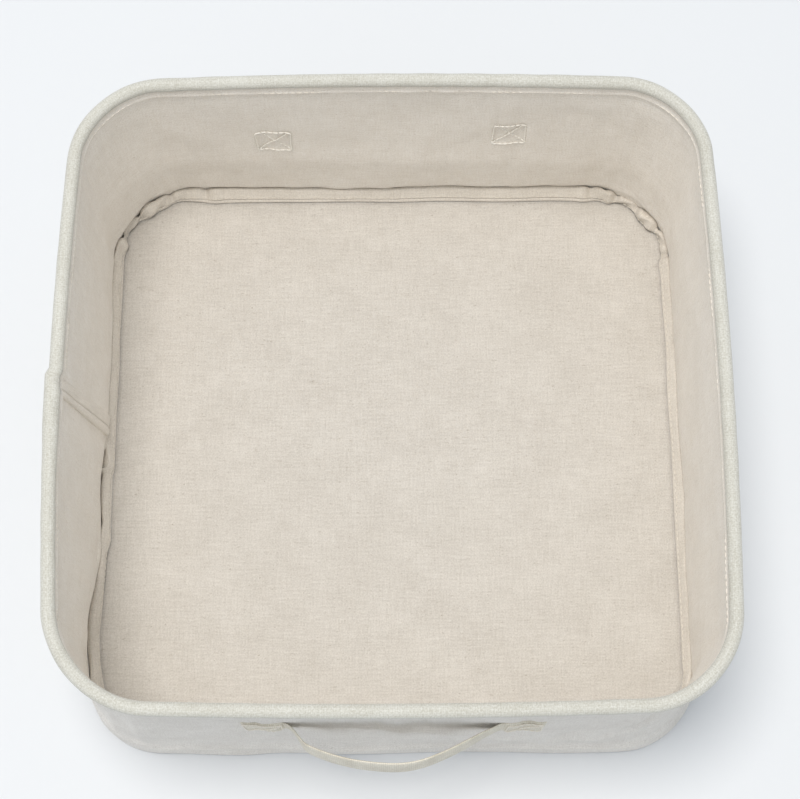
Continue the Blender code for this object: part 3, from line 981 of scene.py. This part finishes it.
def binding_shape():
    """The binding per fine column: foot inset, edge inset, edge height, half thickness, gap to the wall."""
    laid_flat = left_side(-0.0095, -0.052, 0.0015, 0.012)
    rolled = left_side(-0.050, -0.140, 0.014, 0.020)
    hollow = left_side(0.012, -0.0095, 0.018, 0.0026)
    step, crease, puff = pucker_steps()
    corner = back_corners()
    x, y = SEAM_LINE[:, 0], SEAM_LINE[:, 1]
    foot = SEAM_FOOT + 0.0003 * SEAM_WAVE - 0.0030 * corner + 0.60 * step
    foot = foot + 0.0010 * smooth((y - 0.150) / 0.020)
    foot = foot - 0.0008 * laid_flat - 0.0032 * rolled - 0.0010 * bump(y, -0.107, 0.010) * rolled
    gap = 0.0007 * smooth((x - 0.10) / 0.05) + 0.0002 * np.maximum(SEAM_WAVE, 0.0)
    gap = gap + 0.7 * np.maximum(step, 0.0)
    gap = gap + 0.0010 * laid_flat + 0.0038 * hollow + 0.0016 * rolled * bump(y, -0.120, 0.022)
    tight = 0.0011 * bump(around_gap(SEAM_ROUND, turn_at(0.156, -0.150)), 0.0, 0.030)
    edge = wall_inset(0.0125) + 0.0002 + gap + tight
    edge = np.minimum(edge, foot - 0.0012)
    height = SEAM_EDGE_Z + 0.0003 * SEAM_FINE + 0.45 * step - 0.0036 * crease + 0.0008 * puff
    height = height - 0.0036 * laid_flat - 0.0008 * rolled - 0.0024 * hollow
    fullness = 1.0 + 0.08 * SEAM_FINE - 0.70 * crease + 0.60 * puff + 0.18 * corner
    half = BINDING_HALF * fullness + 0.0006 * rolled
    return foot, edge, height, half, gap


def make_floor():
    """Inner base panel: taut in the middle, softly puckered at its edge, and run on under the binding."""
    foot = binding_shape()[0][::2]
    rows = []
    for inset in (0.0026, 0.0036, 0.0044):
        rows.append(level_row(FOOT_LINE - FOOT_NORMAL * inset, FLOOR_TOP - 0.0002))
    edge = FOOT_LINE - FOOT_NORMAL * (foot - 0.0006)[:, None]
    fine = drift(52, (60, 120), tallest=1)(ROUND, 0.4)
    shares = np.concatenate([np.linspace(1.0, 0.90, 18), np.linspace(0.88, 0.02, 30)])
    for share in shares:
        from_edge = (1.0 - share) * 0.165
        lift = 0.0015 * (1.0 - share**6) * smooth(from_edge / 0.012)
        lift = lift - 0.0007 * bump(from_edge, 0.0006, 0.0010)
        wave = 0.0004 * FLOOR_DRIFT(ROUND, share * 2.0) * smooth(from_edge / 0.02) * share
        pucker = 0.00022 * fine * bump(from_edge, 0.006, 0.006)
        rows.append(np.column_stack([edge * share, FLOOR_TOP + lift + wave + pucker]))
    floor = flat_panel("inner_base_panel", np.array(rows), BASE_CLOTH_PAINTED_DARKER, up=True)
    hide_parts("bottom_inner_panel")


def flat_panel(name, rows, material, up):
    """Panel through closed rings from the edge to the middle, with UVs taken straight from above."""
    vertices = rows.reshape(-1, 3)
    column = np.arange(COLUMNS)
    after = (column + 1) % COLUMNS
    faces = []
    for ring in range(len(rows) - 1):
        first, second = ring * COLUMNS, (ring + 1) * COLUMNS
        ring_faces = [first + column, first + after, second + after, second + column]
        faces += np.stack(ring_faces, axis=1).tolist()
    faces.append(((len(rows) - 1) * COLUMNS + column).tolist())
    if not up:
        faces = [face[::-1] for face in faces]
    uv = vertices[np.concatenate([np.array(face) for face in faces]), :2]
    panel = make_object(name, vertices, faces, uv, [material])
    solid = panel.modifiers.new("cloth", "SOLIDIFY")
    solid.thickness = PANEL_CLOTH
    solid.offset = -1.0
    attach(panel, "bin_base")
    return panel


def make_base_binding():
    """Bound seam allowance that stands up against the wall, gathered at the corners."""
    foot, edge, height, half, gap = binding_shape()
    inward = foot - edge
    rise = height - SEAM_FOOT_Z
    length = np.hypot(inward, rise)
    face_in, face_up = rise / length, inward / length
    # along the flange, off its middle in half thicknesses, share of the gap to the wall that is filled
    profile = (
        (0.00, 0.00, 0.0), (0.04, 0.36, 0.0), (0.12, 0.48, 0.0), (0.21, 0.40, 0.0), (0.225, 0.00, 0.0),
        (0.24, 0.00, 0.0), (0.25, 0.72, 0.0), (0.29, 0.98, 0.0), (0.38, 1.04, 0.0), (0.55, 1.10, 0.0),
        (0.75, 1.05, 0.0), (0.90, 0.90, 0.0), (0.97, 0.60, 0.0), (1.00, 0.10, 0.0), (0.98, -0.35, 0.1),
        (0.90, -0.60, 0.4), (0.78, -0.85, 0.9), (0.60, -0.95, 0.9), (0.27, -0.86, 0.4), (0.12, -0.70, 0.1),
        (0.02, -0.40, 0.0),
    )
    corner = back_corners()
    loops = []
    for along, side, fill in profile:
        twist = GATHER_DEPTH * corner * np.sin(GATHER_TURN + GATHER_SLANT * along) * smooth(along / 0.25)
        sway = 0.00030 * SEAM_FINE * along + twist
        inset = foot - along * inward + side * half * face_in + sway - fill * gap
        up = SEAM_FOOT_Z + along * rise + side * half * face_up
        loops.append(np.column_stack([SEAM_LINE - SEAM_NORMAL * inset[:, None], up]))
    binding = loft("base_seam_binding_cloth", loops, [BINDING], closed_across=True, outward_hint=-1)
    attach(binding, "bin_base")
    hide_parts("base_seam_binding")
    make_binding_stitches(foot, inward, rise, half, face_in, face_up)


def make_binding_stitches(foot, inward, rise, half, face_in, face_up):
    """Row of lockstitch along the binding's lower edge."""
    along, side = 0.34, 1.08
    inset = foot - along * inward + side * half * face_in
    up = SEAM_FOOT_Z + along * rise + side * half * face_up
    line = np.column_stack([SEAM_LINE - SEAM_NORMAL * inset[:, None], up])
    ends = stitches_along(line, STITCH_PITCH, level_row(-SEAM_NORMAL, 0.7))
    stitch_mesh("base_seam_stitches", ends, 0.00022, SEAM_THREAD, "bin_base", rise=0.0001)


def stitches_along(line, pitch, ups, share=0.76):
    """Stitches at an even pitch round a closed line of points; share is the part of the pitch that shows."""
    columns = len(line)
    index = np.arange(columns + 1)
    wrapped = np.concatenate([line, line[:1]])
    ups = np.concatenate([ups, ups[:1]])
    girth = float(np.linalg.norm(np.diff(wrapped, axis=0), axis=1).sum())
    count = int(girth / pitch)
    ends = []
    for number in range(count):
        pair = []
        for part in (0.5 - share / 2.0, 0.5 + share / 2.0):
            at = (number + part) / count * columns
            pair.append(tuple(np.interp(at, index, wrapped[:, axis]) for axis in range(3)))
        middle = (number + 0.5) / count * columns
        up = tuple(np.interp(middle, index, ups[:, axis]) for axis in range(3))
        ends.append((pair[0], pair[1], up))
    return ends


def make_underside():
    """Outer base panel, turned in at the wall's foot."""
    rows = []
    turned_in = ((0.0030, 0.0016), (0.0034, 0.0006), (0.0046, 0.0002), (0.0075, 0.00015), (0.012, 0.0001))
    for inset, height in turned_in:
        rows.append(level_row(FOOT_LINE - FOOT_NORMAL * inset, height))
    for share in (0.8, 0.5, 0.2, 0.02):
        rows.append(level_row((FOOT_LINE - FOOT_NORMAL * 0.012) * share, 0.0001))
    panel = flat_panel("outer_base_panel", np.array(rows), OUTSIDE, up=False)
    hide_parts("bottom_outer_panel")


# ---------------------------------------------------------------- wall seam
SEAM_PATH = (  # (y, height, width)
    (-0.0025, 0.1515, 0.0090),
    (0.0062, 0.0860, 0.0105),
    (0.0145, 0.0270, 0.0125),
    (0.0150, 0.0160, 0.0100),
    (0.0100, 0.0118, 0.0066),
    (0.0030, 0.0112, 0.0050),
)
SEAM_SECTION = (  # (share of the width, share of the thickness), with the groove of the fold near the middle
    (-0.50, -0.3), (-0.50, 0.35), (-0.47, 0.60), (-0.40, 0.66), (-0.26, 0.66), (-0.02, 0.62), (0.07, 0.55),
    (0.09, 0.05), (0.12, 0.05), (0.14, 0.75), (0.19, 0.95), (0.27, 1.00), (0.36, 0.98), (0.44, 0.90),
    (0.49, 0.60), (0.50, -0.3),
)
SEAM_BAND_THICK = 0.0017


def curve_through(points, count):
    """Smooth (Catmull-Rom) curve through a few points, as count evenly spaced parameters."""
    points = np.array(points)
    padded = np.concatenate([[2 * points[0] - points[1]], points, [2 * points[-1] - points[-2]]])
    found = []
    for at in np.linspace(0.0, len(points) - 1.0 - 1e-9, count):
        index = int(at)
        part = at - index
        a, b, c, d = padded[index:index + 4]
        bend = (2 * a - 5 * b + 4 * c - d) * part**2 + (3 * b - a - 3 * c + d) * part**3
        found.append(0.5 * (2 * b + (c - a) * part + bend))
    return np.array(found)


def make_wall_seam():
    """Bound allowance of the wall's seam, lying slantwise against the inside of the left wall."""
    path = curve_through(SEAM_PATH, 110)
    middle, width = path[:, :2], path[:, 2]
    along = np.gradient(middle, axis=0)
    along /= np.linalg.norm(along, axis=1, keepdims=True)
    across = np.stack([-along[:, 1], along[:, 0]], axis=1)
    rows = []
    for sideways, rise in SEAM_SECTION:
        place = middle - across * (sideways * width)[:, None]
        x = left_wall_x(place[:, 0], place[:, 1]) + rise * SEAM_BAND_THICK
        rows.append(np.column_stack([x, place]))
    seam = loft("wall_seam_binding_cloth", rows, [SEAM_BAND_PAINTED_LIGHTER], closed_across=True, closed_along=False)
    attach(seam, "bin_base")
    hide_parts("wall_seam_binding")
    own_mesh(seam)


# ---------------------------------------------------------------- handles
SWING = 0.0205
SWING_STEEP = 0.62
SWING_SOFT = 1.35


def strap_curve(side, x):
    """How far the free tape stands off the wall: it leaves one end steeply and the other softly."""
    reach = TAB_IN + 0.001
    share = np.clip((x * -side + reach) / (2.0 * reach), 0.0, 1.0)
    power = SWING_STEEP + (SWING_SOFT - SWING_STEEP) * smooth((share - 0.3) / 0.4)
    return SWING * np.sin(math.pi * share) ** power * smooth(share / 0.12) * smooth((1.0 - share) / 0.06)


def tape_section(side, hand, bow):
    """Rings of points along half a handle, from its sewn end to its middle; bow is the wall's curve in x."""
    stations = np.concatenate([
        np.linspace(TAB_OUT, TAB_IN, 16, endpoint=False),
        np.linspace(TAB_IN, 0.0, 60),
    ])
    across = np.linspace(-1.0, 1.0, 13)
    edge = 1.0 - 0.35 * np.abs(across) ** 12
    front_rows, back_rows = [], []
    for station in stations:
        x = hand * station
        xs = np.full(len(across), x)
        height = HANDLE_Z + across * TAPE_WIDTH / 2.0 + float(sewn_lift(side, x))
        wall = wall_at(side, xs, height, 0.0)[:, 1]
        free = strap_curve(side, np.array([x]))[0]
        share = smooth(np.array([free / 0.010]))[0]
        level = wall * (1.0 - share) + np.polyval(bow, x) * share
        end = smooth(np.array([(TAB_OUT - station) / 0.0012]))[0]
        thick = (TAB_THICK + (TAPE_THICK - TAB_THICK) * share) * (0.55 + 0.45 * end)
        near = level + side * (free - 0.0008 * share * across - TAB_SINK * (1.0 - share))
        far = near + side * thick * edge
        near = near + side * thick * (1.0 - edge)
        front_rows.append(np.column_stack([xs, far, height]))
        back_rows.append(np.column_stack([xs, near, height]))
    return np.concatenate([np.array(front_rows), np.array(back_rows)[:, ::-1]], axis=1)


def make_handle(place, side):
    """Each half of a handle is one tape: flat under its stitches, then bowed off the wall."""
    spread = np.linspace(-TAB_OUT, TAB_OUT, 21)
    bow = np.polyfit(spread, wall_at(side, spread, HANDLE_Z, 0.0)[:, 1], 2)
    for hand_name, hand in (("left", -1.0), ("right", 1.0)):
        section = tape_section(side, hand, bow)
        tape = tape_piece(f"{place}_{hand_name}_handle_tape", section, side * hand)
        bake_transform(tape)
        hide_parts(f"{place}_{hand_name}_handle_tab", f"{place}_handle_strap")


def tape_piece(name, section, flip):
    """Closed bar of tape through rings of section points, with both ends filled."""
    stations, around = section.shape[:2]
    vertices = section.reshape(-1, 3)
    length = np.concatenate([[0.0], np.cumsum(np.linalg.norm(np.diff(section[:, 0], axis=0), axis=1))])
    girth = np.concatenate([[0.0], np.cumsum(np.linalg.norm(np.diff(section[0], axis=0), axis=1))])
    girth = np.append(girth, girth[-1] + np.linalg.norm(section[0, 0] - section[0, -1]))
    faces, uv = [], []
    for s in range(stations - 1):
        for a in range(around):
            after = (a + 1) % around
            face = [s * around + a, s * around + after, (s + 1) * around + after, (s + 1) * around + a]
            corners = ((s, a), (s, a + 1), (s + 1, a + 1), (s + 1, a))
            face_uv = [(length[along], girth[round_it]) for along, round_it in corners]
            if flip < 0:
                face.reverse()
                face_uv.reverse()
            faces.append(tuple(face))
            uv.extend(face_uv)
    for s, order in ((0, flip < 0), (stations - 1, flip > 0)):
        ring = [s * around + a for a in range(around)]
        if not order:
            ring.reverse()
        faces.append(tuple(ring))
        uv.extend((vertices[i][0], vertices[i][2]) for i in ring)
    return make_object(name, vertices, faces, uv, [TAPE], sharp=50)


# ---------------------------------------------------------------- studio
FLOOR_HALF = 3.0
FLOOR_DROP = -0.0004
FLOOR_COLOUR = (0.725, 0.74, 0.755, 1.0)
SKY_COLOUR = (0.90, 0.95, 1.0, 1.0)
SKY_STRENGTH = 0.68


def make_stage():
    """Pale floor, soft sky and one large lamp above the bin."""
    corners = [(x * FLOOR_HALF, y * FLOOR_HALF, FLOOR_DROP) for x, y in ((-1, -1), (1, -1), (1, 1), (-1, 1))]
    look = Nodes("studio_floor").finish(FLOOR_COLOUR, Roughness=0.6, Specular_IOR_Level=0.1)
    floor = make_object("studio_floor", corners, [(0, 1, 2, 3)], None, [look])
    world = bpy.data.worlds.new("studio_sky")
    bpy.context.scene.world = world
    world.use_nodes = True
    background = world.node_tree.nodes["Background"]
    background.inputs["Color"].default_value = SKY_COLOUR
    background.inputs["Strength"].default_value = SKY_STRENGTH
    add_area("key", (-0.24, -0.05, 2.3), (0.0, 0.0, 0.05), 0.8, 35.0, (1.0, 0.965, 0.93))


def add_area(name, place, aim, size, power, colour):
    """Round soft lamp turned towards a point."""
    light = bpy.data.lights.new(name, "AREA")
    light.shape = "DISK"
    light.size = size
    light.energy = power
    light.color = colour
    thing = bpy.data.objects.new(name, light)
    thing.location = place
    thing.rotation_euler = (Vector(aim) - Vector(place)).to_track_quat("-Z", "Y").to_euler()
    bpy.context.scene.collection.objects.link(thing)


CAMERA_PLACE = Vector((0.0020, -0.2648, 0.9735))
CAMERA_DOWN = 72.78
CAMERA_TURN = 0.47
CAMERA_ROLL = 0.15
LENS = 75.55


def make_camera():
    """Camera that looks steeply down from above the front; the angles are in degrees."""
    camera = bpy.data.cameras.new("camera")
    camera.sensor_width = 36.0
    camera.lens = LENS
    thing = bpy.data.objects.new("camera", camera)
    down, turn, roll = (math.radians(v) for v in (CAMERA_DOWN, CAMERA_TURN, CAMERA_ROLL))
    look = Vector((math.sin(turn) * math.cos(down), math.cos(turn) * math.cos(down), -math.sin(down)))
    right = Vector((math.cos(turn), -math.sin(turn), 0.0))
    up = right.cross(look)
    right, up = (
        right * math.cos(roll) + up * math.sin(roll),
        up * math.cos(roll) - right * math.sin(roll),
    )
    basis = Matrix((right, up, -look)).transposed()
    thing.matrix_world = Matrix.Translation(CAMERA_PLACE) @ basis.to_4x4()
    bpy.context.scene.collection.objects.link(thing)
    bpy.context.scene.camera = thing


def finish_hidden_parts():
    """The board stays as the CAD has it, inside the cloth, with its own finish."""
    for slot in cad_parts["base_board"].material_slots:
        slot.material = BOARD


make_wall()
make_rim()
make_wire()
make_rim_stitches()
make_floor()
make_base_binding()
make_underside()
make_wall_seam()
make_handle("front", -1.0)
make_handle("back", 1.0)
make_box_stitches()
finish_hidden_parts()
make_stage()
make_camera()
bpy.context.scene.view_settings.view_transform = "Standard"
